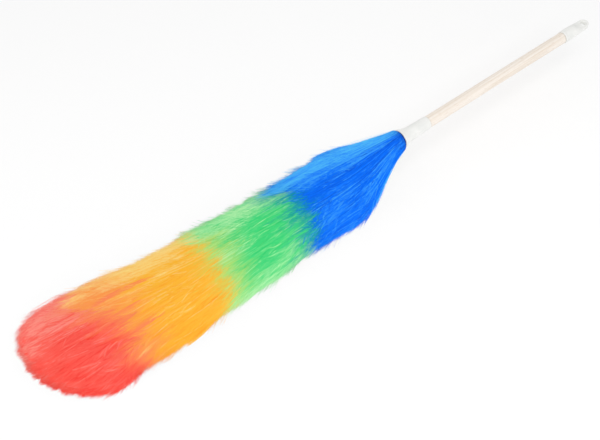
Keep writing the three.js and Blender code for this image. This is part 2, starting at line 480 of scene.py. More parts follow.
@dataclass(frozen=True)
class ThreadFinish:
    """Waxed cotton thread with the slant of its twist, darker in the twist's grooves as painted shade."""

    slot: str
    light: Colour
    groove_shade: Colour
    twist: float = 1500.0
    waver: float = 3.0
    fluff_scale: float = 1800.0
    relief: tuple[float, float] = (0.4, 0.0002)

    def material(self) -> bpy.types.Material:
        """Builds the finish.

        Returns:
            The material.
        """
        material, shader = Shader.of_new_material(self.slot)
        place = shader.add("TexCoord").outputs["Object"]
        fluff = shader.noise(place, self.fluff_scale)
        split = shader.add("SeparateXYZ", None, {0: place}).outputs
        slant = shader.math("ADD", shader.math("ADD", split[0], split[1]), split[2])
        turns = shader.math("MULTIPLY", slant, self.twist * FULL_TURN)
        waver = shader.math("MULTIPLY", fluff, self.waver)
        # The grooves of the twist are darker: painted shade, following the same pattern as the bump.
        shade = shader.ease(shader.math("SINE", shader.math("ADD", turns, waver)), (-1.0, 1.0), (0.0, 0.7))
        shader.surface({
            "Base Color": shader.mix(shade, self.light, self.groove_shade),
            "Roughness": shader.ease(fluff, NOISE_RANGE, (0.7, 0.9)),
            "Normal": shader.bump(shade, *self.relief, invert=True),
        })
        return material


@dataclass(frozen=True)
class FloorFinish:
    """A white studio floor that keeps the duster's shadow."""

    colour: Colour
    lift: float

    def material(self) -> bpy.types.Material:
        """Builds the finish.

        Returns:
            The material.
        """
        material, shader = Shader.of_new_material("studio_floor")
        matt = shader.add("BsdfDiffuse", None, {"Color": self.colour})
        rays = shader.add("LightPath").outputs
        seen = shader.math("MAXIMUM", rays["Is Camera Ray"], rays["Is Glossy Ray"])
        seen = shader.math("MAXIMUM", seen, rays["Is Transmission Ray"])
        lift = shader.add("Emission", None, {"Strength": shader.math("MULTIPLY", seen, self.lift)})
        both = shader.add("AddShader", None, {0: matt.outputs[0], 1: lift.outputs[0]})
        shader.feed(shader.tree.nodes["Material Output"].inputs["Surface"], both.outputs[0])
        return material


@dataclass(frozen=True)
class Piece:
    """What a finished mesh is called, looks like and stands for."""

    name: str
    slot: str
    nodes: tuple[str, ...]

    def place(self, mesh: bpy.types.Mesh, material: bpy.types.Material) -> bpy.types.Object:
        """Puts a mesh into the scene on the duster's body.

        Args:
            mesh: The piece's mesh, in the frame's own place.
            material: Its finish.

        Returns:
            The new object.
        """
        made = bpy.data.objects.new(self.name, mesh)
        bpy.context.scene.collection.objects.link(made)
        mesh.materials.append(material)
        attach(made, BODY)
        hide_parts(*self.nodes)
        log.info("%s: %d faces", self.name, len(mesh.polygons))
        return made


@dataclass(frozen=True)
class Lathe:
    """Turns outlines about the handle's axis."""

    axis_z: float
    steps: int = 96
    sharp: float = math.radians(40)

    @staticmethod
    def rounded(corners: list[tuple[float, float, float]], steps: int = 5) -> list[tuple[float, float]]:
        """Rounds the corners of an outline.

        Args:
            corners: Place along the axis, radius and rounding of each corner.
            steps: Points to a rounding, less one.

        Returns:
            Place along the axis and radius of each point.
        """
        points = []
        for index, (x, radius, rounding) in enumerate(corners):
            if rounding == 0:
                points.append((x, radius))
                continue
            corner = Vector((x, radius))
            legs = [Vector(corners[index + step][:2]) - corner for step in (-1, 1)]
            ends = [corner + leg.normalized() * min(rounding, leg.length / 2) for leg in legs]
            for step in range(steps + 1):
                share = step / steps
                first, last = ends[0].lerp(corner, share), corner.lerp(ends[1], share)
                points.append(tuple(first.lerp(last, share)))
        return points

    def turned(self, outline: list[tuple[float, float]]) -> bmesh.types.BMesh:
        """Turns an outline into a closed shape.

        Args:
            outline: Place along the axis and radius of each point.

        Returns:
            The shape.
        """
        points = [(x, 0.0, self.axis_z + radius) for x, radius in outline]
        return spun(points, (0.0, 0.0, self.axis_z), (1.0, 0.0, 0.0), self.steps)

    def mesh(self, name: str, shape: bmesh.types.BMesh) -> bpy.types.Mesh:
        """Makes a mesh of a shape, smooth but for its sharp edges.

        Args:
            name: The mesh's name.
            shape: The shape, which is used up.

        Returns:
            The mesh.
        """
        mesh = smooth_mesh(name, shape)
        mesh.set_sharp_from_angle(angle=self.sharp)
        return mesh


@dataclass(frozen=True)
class Handle:
    """The turned dowel, with a tenon at each end."""

    lathe: Lathe
    span: tuple[float, float]
    finish: WoodFinish
    radius: float = 0.006
    tenon_radius: float = 0.0043
    tenon_length: float = 0.014
    edge: float = 0.0007

    def build(self) -> None:
        """Makes the handle."""
        front, back = self.span
        first, last = front + self.tenon_length, back - self.tenon_length
        outline = self.lathe.rounded([
            (front, 0.0, 0.0),
            (front, self.tenon_radius, self.edge),
            (first, self.tenon_radius, 0.0),
            (first, self.radius, self.edge),
            (last, self.radius, self.edge),
            (last, self.tenon_radius, 0.0),
            (back, self.tenon_radius, self.edge),
            (back, 0.0, 0.0),
        ])
        mesh = self.lathe.mesh("wooden_handle", self.lathe.turned(outline))
        Piece("wooden_handle", self.finish.slot, ("handle",)).place(mesh, self.finish.material())


@dataclass(frozen=True)
class Ferrule:
    """The moulded sleeve that flares into a flange against the fibre."""

    lathe: Lathe
    span: tuple[float, float]
    finish: MouldedFinish
    flange_radius: float = 0.00975
    flange_rim: float = 0.0012
    lead: float = 0.0036
    rim_slope: float = 0.0006
    waist_radius: float = 0.0069
    flare_length: float = 0.011
    flare_bow: tuple[float, float] = (0.3, 0.2)
    flare_start: float = 0.1
    flare_rings: int = 16
    lip_radius: float = 0.0064
    core_radius: float = 0.0043
    core_depth: float = 0.0123
    socket_radius: float = 0.0046
    socket_depth: float = 0.0143
    edge: float = 0.0005

    def build(self) -> None:
        """Makes the ferrule."""
        seat, lip = self.span
        face, rim = seat - self.lead, seat - self.lead + self.flange_rim
        length, rise = seat + self.flare_length - rim, self.flange_radius - self.waist_radius
        flare = [Vector((rim, self.flange_radius)), Vector((seat + self.flare_length, self.waist_radius))]
        bow_along, bow_out = self.flare_bow
        flare.insert(1, Vector((rim + bow_along * length, self.waist_radius + bow_out * rise)))
        inner = self.lathe.rounded([
            (seat + self.core_depth, 0.0, 0.0),
            (seat + self.core_depth, self.core_radius, 0.0),
            (face, self.core_radius, self.edge),
            (face, self.flange_radius, self.edge),
            (rim, self.flange_radius, self.edge),
            (rim + self.rim_slope, self.flange_radius - self.rim_slope, 0.0),
        ])
        shares = np.linspace(self.flare_start, 1, self.flare_rings)
        curve = [flare[0].lerp(flare[1], t).lerp(flare[1].lerp(flare[2], t), t) for t in shares]
        outer = self.lathe.rounded([
            (seat + self.flare_length, self.waist_radius, 0.0),
            (lip, self.lip_radius, self.edge),
            (lip, self.socket_radius, self.edge / 2),
            (lip - self.socket_depth, self.socket_radius, 0.0),
            (lip - self.socket_depth, 0.0, 0.0),
        ])
        outline = inner[:-1] + [tuple(point) for point in curve] + outer[1:]
        mesh = self.lathe.mesh("moulded_ferrule", self.lathe.turned(outline))
        Piece("moulded_ferrule", self.finish.slot, ("ferrule",)).place(mesh, self.finish.material())


@dataclass(frozen=True)
class HangingCap:
    """The moulded cap that flattens into a tab with a hanging hole."""

    lathe: Lathe
    span: tuple[float, float]
    finish: MouldedFinish
    radius: float = 0.0067
    socket_radius: float = 0.0046
    socket_depth: float = 0.0143
    band_length: float = 0.005
    band_groove: float = 0.00025
    groove_half: float = 0.0004
    groove_edge: float = 0.0002
    wall_inset: float = 0.00004
    wall_from: tuple[float, float] = (0.001, 0.002)
    wall_rings: int = 44
    dome_rings: int = 24
    ramp: tuple[float, float] = (0.0145, 0.0265)
    tab_half: float = 0.0025
    taper: float = 0.15
    tab_edge: float = 12.0
    hole_radius: float = 0.00325
    hole_lip: float = 0.0006
    hole_curve: tuple[tuple[float, float], ...] = ((1.5, 0.0), (1.0, 0.12), (0.5, 0.4), (0.0, 1.0))
    hole_flare: float = 2.0
    hole_reach: float = 1.5
    hole_sides: int = 64
    edge: float = 0.0005

    def body(self) -> bmesh.types.BMesh:
        """Turns the cap and presses its end flat.

        Returns:
            The shape, before the hole is cut.
        """
        mouth, end = self.span
        groove = mouth + self.band_length
        dome = end - self.radius
        outline = self.lathe.rounded([
            (mouth + self.socket_depth, 0.0, 0.0),
            (mouth + self.socket_depth, self.socket_radius, 0.0),
            (mouth, self.socket_radius, self.edge / 2),
            (mouth, self.radius, self.edge),
            (groove - self.groove_half, self.radius, self.groove_edge),
            (groove, self.radius - self.band_groove, self.groove_edge),
            (groove + self.groove_half, self.radius - self.wall_inset, self.groove_edge),
            (groove + self.wall_from[0], self.radius - self.wall_inset, 0.0),
        ])
        outline += [(x, self.radius) for x in np.linspace(groove + self.wall_from[1], dome, self.wall_rings)]
        for turn in np.linspace(0, math.pi / 2, self.dome_rings + 1)[1:]:
            outline.append((dome + self.radius * math.sin(turn), self.radius * math.cos(turn)))
        shape = self.lathe.turned(outline)
        for vert in shape.verts:
            height = vert.co.z - self.lathe.axis_z
            pressed = height / (1 + abs(height / self.tab_half) ** self.tab_edge) ** (1 / self.tab_edge)
            share = float(smoothstep(np.array(vert.co.x - mouth), *self.ramp))
            vert.co.z = self.lathe.axis_z + height + (pressed - height) * share
            vert.co.y *= 1 - self.taper * float(smoothstep(np.array(vert.co.x), groove, end))
        return shape

    def cutter(self) -> bpy.types.Mesh:
        """Shapes what is cut away for the hole and its rounded lips.

        Returns:
            The mesh.
        """
        tall = self.radius * self.hole_reach
        side = [
            (self.hole_radius + self.hole_lip * wider, self.tab_half - self.hole_lip * deep)
            for deep, wider in self.hole_curve
        ]
        side.append((self.hole_radius + self.hole_lip * self.hole_flare, tall))
        outline = [(0.0, -tall), *[(r, -z) for r, z in reversed(side)], *side, (0.0, tall)]
        middle = (self.span[1] - self.radius, 0.0, self.lathe.axis_z)
        points = [(middle[0] + r, 0.0, middle[2] + z) for r, z in outline]
        shape = spun(points, middle, (0.0, 0.0, 1.0), self.hole_sides)
        return self.lathe.mesh("hole", shape)

    def build(self) -> None:
        """Makes the cap."""
        scene = bpy.context.scene
        blank = bpy.data.objects.new("blank", self.lathe.mesh("blank", self.body()))
        tool = bpy.data.objects.new("tool", self.cutter())
        for part in (blank, tool):
            scene.collection.objects.link(part)
        cut = blank.modifiers.new("hole", "BOOLEAN")
        cut.object = tool
        cut.solver = "EXACT"
        graph = bpy.context.evaluated_depsgraph_get()
        mesh = bpy.data.meshes.new_from_object(blank.evaluated_get(graph), depsgraph=graph)
        mesh.name = "hanging_cap"
        for part in (blank, tool):
            bpy.data.objects.remove(part)
        mesh.polygons.foreach_set("use_smooth", np.ones(len(mesh.polygons), dtype=bool))
        mesh.set_sharp_from_angle(angle=self.lathe.sharp)
        Piece("hanging_cap", self.finish.slot, ("end_cap",)).place(mesh, self.finish.material())


@dataclass(frozen=True)
class CoreRod:
    """The plain rod that carries the bundles."""

    lathe: Lathe
    span: tuple[float, float]
    finish: MouldedFinish
    radius: float = 0.004
    edge: float = 0.0006
    nose_rings: int = 12

    def build(self) -> None:
        """Makes the rod."""
        tip, seat = self.span
        turns = np.linspace(0, math.pi / 2, self.nose_rings + 1)[:-1]
        nose = [(tip + self.radius * (1 - math.cos(turn)), self.radius * math.sin(turn)) for turn in turns]
        rest = self.lathe.rounded([
            (tip + self.radius, self.radius, 0.0),
            (seat, self.radius, self.edge),
            (seat, 0.0, 0.0),
        ])
        mesh = self.lathe.mesh("core", self.lathe.turned(nose + rest))
        Piece("core", self.finish.slot, ("core_rod",)).place(mesh, self.finish.material())


@dataclass(frozen=True)
class Binding:
    """Thread wound tightly round a bundle."""

    node: str
    axis_z: float
    span: tuple[float, float]
    inner_radius: float = 0.0091
    thread_radius: float = 0.0004
    spacing: float = 2.05
    sides: int = 8
    steps: int = 40

    def build(self, finish: ThreadFinish, material: bpy.types.Material) -> None:
        """Makes the binding.

        Args:
            finish: The thread's finish.
            material: The material of that finish.
        """
        low, high = self.span[0] + self.thread_radius, self.span[1] - self.thread_radius
        pitch = self.spacing * self.thread_radius
        turns = (high - low) / pitch
        count = round(self.steps * turns)
        start = (low, 0.0, self.axis_z + self.inner_radius + self.thread_radius)
        square_to_thread = Matrix.Translation(start) @ Matrix.Rotation(math.pi / 2, 4, "X")
        shape = bmesh.new()
        bmesh.ops.create_circle(
            shape, segments=self.sides, radius=self.thread_radius, matrix=square_to_thread,
        )
        bmesh.ops.spin(
            shape, geom=shape.verts[:] + shape.edges[:], cent=(low, 0.0, self.axis_z), axis=(1.0, 0.0, 0.0),
            dvec=(pitch * turns / count, 0.0, 0.0), angle=FULL_TURN * turns, steps=count,
        )
        bmesh.ops.holes_fill(shape, edges=[edge for edge in shape.edges if edge.is_boundary], sides=0)
        bmesh.ops.recalc_face_normals(shape, faces=shape.faces[:])
        mesh = smooth_mesh(f"{self.node}_thread", shape)
        Piece(f"{self.node}_thread", finish.slot, (self.node,)).place(mesh, material)


@dataclass(frozen=True)
class HeadForm:
    """The sagging round form that the fibre tips lie on, by distance from the flange to the tip."""

    flange_x: float
    axis_z: float
    collar_radius: float = 0.0106
    shoulder_radius: float = 0.0361
    shoulder_at: float = 0.081
    shoulder_ease: float = 0.75
    full_radius: float = 0.0442
    swell_from: float = 0.158
    sag: float = 0.020
    sag_lift: float = 0.0081
    lift_from: float = 0.228
    length: float = 0.3928
    end_length: float = 0.0261
    end_blunt: float = 0.45
    end_slant: float = 0.0217
    slant_towards: float = 1.01
    slant_lead: float = 2.85
    slant_from: float = 0.195
    slant_ease: float = 1.52
    slant_limit: float = 1.15
    tuft: float = 0.005
    tuft_fineness: float = 330.0
    tuft_waver: float = 1.5
    tuft_bends: tuple[float, float] = (140.0, 150.0)
    tuft_margins: tuple[float, float] = (0.3, 0.4)
    tuft_level: float = 0.4
    lump: float = 0.0006
    lump_from: tuple[float, float] = (0.02, 0.09)
    lump_waves: tuple[tuple[float, ...], ...] = ((1, 60, 0.4), (2, -45, 2.1), (3, 70, 0.9), (7, -150, 3.0))
    press_depth: float = 0.006
    rest_height: float = 0.0004

    @property
    def end_start(self) -> float:
        """Distance at which the rounded end starts."""
        return self.length - self.end_length

    def radius(self, along: np.ndarray) -> np.ndarray:
        """Radius of the form before its end is rounded.

        Args:
            along: Distances from the flange.

        Returns:
            The radius at each distance.
        """
        straight = np.clip(along / self.shoulder_at, 0.0, 1.0)
        eased = smoothstep(along, 0.0, self.shoulder_at)
        shoulder = self.shoulder_ease * eased + (1 - self.shoulder_ease) * straight
        swell = smoothstep(along, self.swell_from, self.end_start)
        flared = self.collar_radius + (self.shoulder_radius - self.collar_radius) * shoulder
        return flared + (self.full_radius - self.shoulder_radius) * swell

    def drop(self, along: np.ndarray) -> np.ndarray:
        """How far the form hangs below the handle's axis.

        Args:
            along: Distances from the flange.

        Returns:
            The drop at each distance.
        """
        shoulder = smoothstep(along, 0.0, self.shoulder_at)
        lift = smoothstep(along, self.lift_from, self.length)
        return self.sag * shoulder - self.sag_lift * lift

    def lumps(self, along: np.ndarray, angle: np.ndarray) -> np.ndarray:
        """Soft dents and bulges of the form.

        Args:
            along: Distances from the flange.
            angle: Directions round the head, from straight up.

        Returns:
            How far the form stands out.
        """
        total = sum(np.sin(k * angle + f * along + p) for k, f, p in self.lump_waves)
        return self.lump * total * smoothstep(along, *self.lump_from)

    def slant(self, along: np.ndarray, height: np.ndarray) -> np.ndarray:
        """How much earlier the underside of the rounded end stops.

        Args:
            along: Distances from the flange.
            height: Heights over the middle of the form towards its longest side, as a share of its radius.

        Returns:
            The distance by which each point lies nearer to the handle.
        """
        share = smoothstep(along, self.end_start - self.slant_lead * self.end_length, self.length)
        lower = np.clip(self.slant_from - height, 0.0, self.slant_limit)
        return self.end_slant * share * lower**self.slant_ease

    def tufts(self, along: np.ndarray, across: np.ndarray, upward: np.ndarray) -> np.ndarray:
        """Uneven reach of the tufts that stand out of the end.

        Args:
            along: Distances from the flange.
            across: Places across the head.
            upward: Places up the head.

        Returns:
            How far each place stands out past the smooth end.
        """
        fine, waver = self.tuft_fineness, self.tuft_waver
        first = np.abs(np.sin(fine * across + waver * np.sin(self.tuft_bends[0] * upward + 1.0)))
        second = np.abs(np.sin(fine * upward + waver * np.sin(self.tuft_bends[1] * across + 2.0)))
        before, after = (margin * self.end_length for margin in self.tuft_margins)
        share = smoothstep(along, self.end_start - before, self.length - after)
        return self.tuft * share * (first * second - self.tuft_level)

    def bend(self, along: np.ndarray) -> np.ndarray:
        """How far the rounded end has turned inwards at each distance, up to a quarter turn."""
        return np.clip((along - self.end_start) / self.end_length, 0.0, 1.0) * math.pi / 2

    def points(self, along: np.ndarray, depth: np.ndarray, angle: np.ndarray) -> np.ndarray:
        """Points at a depth under the form.

        Args:
            along: Distances from the flange. Past the start of the end they follow its rounding.
            depth: Depths under the form, negative above it.
            angle: Directions round the head, from straight up.

        Returns:
            The points, before the head is pressed on the surface that it rests on.
        """
        bend = self.bend(along)
        station = np.where(bend > 0, self.end_start + (self.end_length - depth) * np.sin(bend), along)
        full = self.radius(station) + self.lumps(station, angle)
        radius = (full - depth) * np.maximum(np.cos(bend), 0.0) ** self.end_blunt
        height = radius * np.cos(angle - self.slant_towards) / full
        across = radius * np.sin(angle)
        upward = radius * np.cos(angle)
        reach = self.tufts(station, across, upward) - self.slant(station, height)
        middle = self.axis_z - self.drop(station)
        return np.stack([self.flange_x - station - reach, across, middle + upward], axis=-1)

    def outward(self, along: np.ndarray, angle: np.ndarray) -> np.ndarray:
        """Directions that lead straight out of the form.

        Args:
            along: Distances from the flange.
            angle: Directions round the head, from straight up.

        Returns:
            A unit vector for each place.
        """
        bend = self.bend(along)
        side = np.cos(bend)
        return np.stack([-np.sin(bend) + 0 * angle, side * np.sin(angle), side * np.cos(angle)], axis=-1)

    def rested(self, points: np.ndarray, lowest: np.ndarray) -> np.ndarray:
        """Presses what hangs down flat against the surface that the head rests on.

        Args:
            points: Points of the head.
            lowest: Least height of each point.

        Returns:
            The pressed points.
        """
        over = points[..., 2] - lowest - self.press_depth
        soft = lowest + self.press_depth * np.exp(np.minimum(over, 0.0) / self.press_depth)
        return np.concatenate([points[..., :2], np.where(over > 0, points[..., 2], soft)[..., None]], axis=-1)


@dataclass(frozen=True)
class Lay:
    """Where fibres lie.

    Each fibre has a path, the ways out of the head and the places in the band along it, a width and a shade.
    """

    paths: np.ndarray
    outward: np.ndarray
    places: np.ndarray
    widths: np.ndarray
    shades: np.ndarray

    def joined(self, other: "Lay") -> "Lay":
        """Adds the fibres of another lay."""
        pairs = [(getattr(self, part.name), getattr(other, part.name)) for part in fields(self)]
        return Lay(*[np.concatenate(pair) for pair in pairs])


@dataclass(frozen=True)
class Strand:
    """One fibre as a thin closed spike, and the mesh of its bent copies."""

    sides: int = 3
    stations: tuple[float, ...] = (0.0, 0.12, 0.36, 0.64, 0.86, 1.0)
    widths: tuple[float, ...] = (0.7, 1.0, 1.0, 0.95, 0.8, 0.0)
    flatness: float = 0.35
    softness: float = 0.55
    lit_from_above: float = 0.42
    lane: float = 0.006

    def template(self) -> tuple[np.ndarray, list[list[int]], list[list[float]]]:
        """Shapes the straight strand.

        Returns:
            Its corners as side and station, its faces, and each face corner's share across the fibre's lane.
        """
        shape = bmesh.new()
        bmesh.ops.create_circle(shape, cap_ends=True, segments=self.sides, radius=1.0)
        ring = shape.verts[:]
        for station in self.stations[1:]:
            edges = [edge for edge in shape.edges if all(vert in ring for vert in edge.verts)]
            grown = bmesh.ops.extrude_edge_only(shape, edges=edges)["geom"]
            ring = [item for item in grown if isinstance(item, bmesh.types.BMVert)]
            for vert in ring:
                vert.co.z = station
        bmesh.ops.pointmerge(shape, verts=ring, merge_co=(0.0, 0.0, 1.0))
        bmesh.ops.recalc_face_normals(shape, faces=shape.faces[:])
        shape.verts.index_update()
        corners = np.array([vert.co for vert in shape.verts])
        faces = [[vert.index for vert in face.verts] for face in shape.faces]
        shares = [[self.lane_share(face, vert) for vert in face.verts] for face in shape.faces]
        shape.free()
        return corners, faces, shares

    def lane_share(self, face: bmesh.types.BMFace, vert: bmesh.types.BMVert) -> float:
        """Place of a face's corner across the fibre's lane on the fibre map.

        Args:
            face: The face.
            vert: One of its corners.

        Returns:
            The share of the lane.
        """
        middle = face.calc_center_median()
        turn = math.atan2(vert.co.y, vert.co.x) - math.atan2(middle.y, middle.x)
        turn = (turn + math.pi) % FULL_TURN - math.pi
        side = (math.atan2(middle.y, middle.x) % FULL_TURN) * self.sides / FULL_TURN
        across = turn * self.sides / FULL_TURN if vert.co.xy.length > 0.5 else 0.0
        return (side + across) / self.sides

    def mesh(self, name: str, lay: Lay) -> bpy.types.Mesh:
        """Bends a copy of the strand along each path.

        Args:
            name: The mesh's name.
            lay: Where the fibres lie.

        Returns:
            The mesh of all the fibres.
        """
        corners, faces, shares = self.template()
        count = len(lay.paths)
        ring = np.array([self.stations.index(round(z, 6)) for z in corners[:, 2].astype(float).round(6)])
        along = np.gradient(lay.paths, axis=1)
        along /= np.linalg.norm(along, axis=2, keepdims=True)
        across = np.cross(lay.outward, along)
        across /= np.linalg.norm(across, axis=2, keepdims=True)
        upward = np.cross(along, across)
        half = lay.widths[:, None] * np.array(self.widths)
        aside = across[:, ring] * corners[:, 0, None]
        above = upward[:, ring] * corners[:, 1, None]
        points = lay.paths[:, ring] + (aside + above * self.flatness) * half[:, ring, None]
        normals = lay.outward[:, ring] * self.softness + (aside * self.flatness + above) * (1 - self.softness)
        normals[..., 2] += self.lit_from_above
        normals /= np.linalg.norm(normals, axis=2, keepdims=True)

        mesh = bpy.data.meshes.new(name)
        flat_faces = np.array([corner for face in faces for corner in face])
        sizes = np.array([len(face) for face in faces])
        starts = np.concatenate([[0], np.cumsum(sizes)[:-1]])
        step = np.arange(count)[:, None]
        mesh.vertices.add(count * len(corners))
        mesh.loops.add(count * len(flat_faces))
        mesh.polygons.add(count * len(faces))
        mesh.vertices.foreach_set("co", points.astype(np.float32).ravel())
        mesh.loops.foreach_set("vertex_index", (flat_faces + step * len(corners)).astype(np.int32).ravel())
        mesh.polygons.foreach_set("loop_start", (starts + step * len(flat_faces)).astype(np.int32).ravel())
        mesh.polygons.foreach_set("use_smooth", np.ones(count * len(faces), dtype=bool))
        share = np.array([corner for face in shares for corner in face])
        lanes = np.empty((count, len(share), 2), dtype=np.float32)
        lanes[..., 0] = np.clip(lay.places, *PLACE_RANGE)[:, ring[flat_faces]]
        lanes[..., 1] = np.clip(lay.shades, *SHADE_RANGE)[:, None] + (share - 0.5) * self.lane
        mesh.uv_layers.new(name=FIBRE_MAP).uv.foreach_set("vector", lanes.ravel())
        mesh.update(calc_edges=True)
        mesh.normals_split_custom_set_from_vertices(normals.reshape(-1, 3))
        return mesh


class Coat(Enum):
    """Layers of a band's fibre, from the inside out."""

    UNDER = "undercoat"
    MIDDLE = "midcoat"
    TOP = "topcoat"


@dataclass(frozen=True)
class CoatStyle:
    """How the fibres of one coat lie."""

    density: float
    top: float
    half_width: float
    clump_size: int
    clump_width: float
    gather: float
    sway: float
    fuzz: float
    flick: float
    # Painted shade by depth: below 0 darker in the lower coats, above 0 paler on top.
    shade: float
    stray_share: float
    fluff_share: float


# The undercoat is painted darker and the topcoat paler: painted shade among the fibres.
COATS = {
    Coat.UNDER: CoatStyle(
        density=0.9, top=0.0016, half_width=0.00027, clump_size=12, clump_width=0.0030, gather=0.3,
        sway=0.003, fuzz=0.0004, flick=0.0004, shade=-0.06, stray_share=0.0, fluff_share=0.0,
    ),
    Coat.MIDDLE: CoatStyle(
        density=1.15, top=0.0009, half_width=0.00022, clump_size=10, clump_width=0.0010, gather=0.7,
        sway=0.003, fuzz=0.0006, flick=0.0013, shade=0.0, stray_share=0.05, fluff_share=0.3,
    ),
    Coat.TOP: CoatStyle(
        density=1.35, top=0.0003, half_width=0.00018, clump_size=9, clump_width=0.0006, gather=0.8,
        sway=0.003, fuzz=0.0008, flick=0.0017, shade=0.02, stray_share=0.08, fluff_share=0.4,
    ),
}


@dataclass(frozen=True)
class Band:
    """One coloured band: where its bundle starts, its fibre shows and ends, and how its strands vary.

    The lean is how much further it reaches on one side, how narrow that is and its direction.
    The edges are how much paler it is painted on its far and on its near side, as painted light and shade.
    """

    name: str
    finish: FibreFinish
    start: float
    shows: float
    tips: tuple[float, float]
    reach: tuple[float, float]
    ragged: float
    lean: tuple[float, float, float]
    contrast: float
    edges: tuple[float, float]
    rounds_the_end: bool = False


@dataclass(frozen=True)
class Lock:
    """A lock that lies loose on the head: its direction, its start and end, and how high and wide it lies."""

    band: str
    angle: float
    span: tuple[float, float]
    lift: float
    width: float
    fibres: int
    shade: float


@dataclass(frozen=True)
class Scatter:
    """How fibres differ from one another: in shade by clump, fibre and mottle, and in height at rest."""

    clump_contrast: float = 0.7
    fibre_contrast: float = 0.6
    mottle: float = 0.06
    rest: float = 0.004


@dataclass(frozen=True)
class SideScatter(Scatter):
    """How the fibres along the side of the head differ, among them stray ones and the short ones of fluff."""

    turn: float = 0.05
    waves: tuple[tuple[float, float], ...] = ((3, 90), (5, -140), (9, 210))
    clump_tint: float = 0.06
    fibre_tint: float = 0.05
    start_tint: float = 0.4
    tint_from: float = 0.15
    gather: tuple[float, float] = (0.6, 1.2)
    sway: float = 0.3
    stray_sway: float = 0.5
    tip: float = 0.004
    least_length: float = 0.012
    height: float = 0.0003
    flick: tuple[float, float] = (0.75, 1.1)
    stray_flick: float = 1.5
    sink: tuple[float, float] = (0.7, 1.2)
    emerge: tuple[float, float] = (0.3, 0.8)
    stray_emerge: float = 0.12
    stray_rise: float = 0.0005
    stray_shade: tuple[float, float] = (0.08, 0.2)
    fluff_contrast: float = 0.5
    fluff_lift: tuple[float, float] = (0.0008, 0.0050)
    fluff_length: tuple[float, float] = (0.009, 0.018)
    least_fluff: float = 0.008
    width: tuple[float, float] = (0.7, 1.3)


@dataclass(frozen=True)
class EndScatter(Scatter):
    """How the fibres on the rounded end differ, from its rim to the middle of its face."""

    rim_share: float = 0.65
    rim_ease: float = 0.8
    fluff: float = 0.5
    fluff_lift: tuple[float, float] = (0.0020, 0.0060)
    lift: float = 0.4
    lift_ease: float = 0.9
    lean: tuple[float, float] = (0.0022, 0.003)
    lean_from: tuple[float, float] = (0.7, 0.95)
    fibre_lean: float = 0.0007
    bend: float = 0.018
    bend_range: tuple[float, float] = (0.02, 0.98)
    fan: float = 0.02
    fuzz: float = 0.5
    flick: tuple[float, float] = (0.6, 1.1)
    face_from: tuple[float, float] = (0.5, 0.9)
    reach: tuple[float, float] = (0.014, 0.030)
    root_depth: tuple[float, float] = (0.004, 0.010)
    forward: float = 0.008
    bow: float = 0.2
    width: tuple[float, float] = (0.8, 1.4)


@dataclass(frozen=True)
class LockScatter:
    """How the fibres of a loose lock differ: in length, width, height and shade."""

    tip: float = 0.05
    root: float = 0.3
    narrowing: float = 0.3
    rise: tuple[float, float] = (0.2, 1.0)
    shade: float = 0.18
    width: tuple[float, float] = (0.8, 1.4)


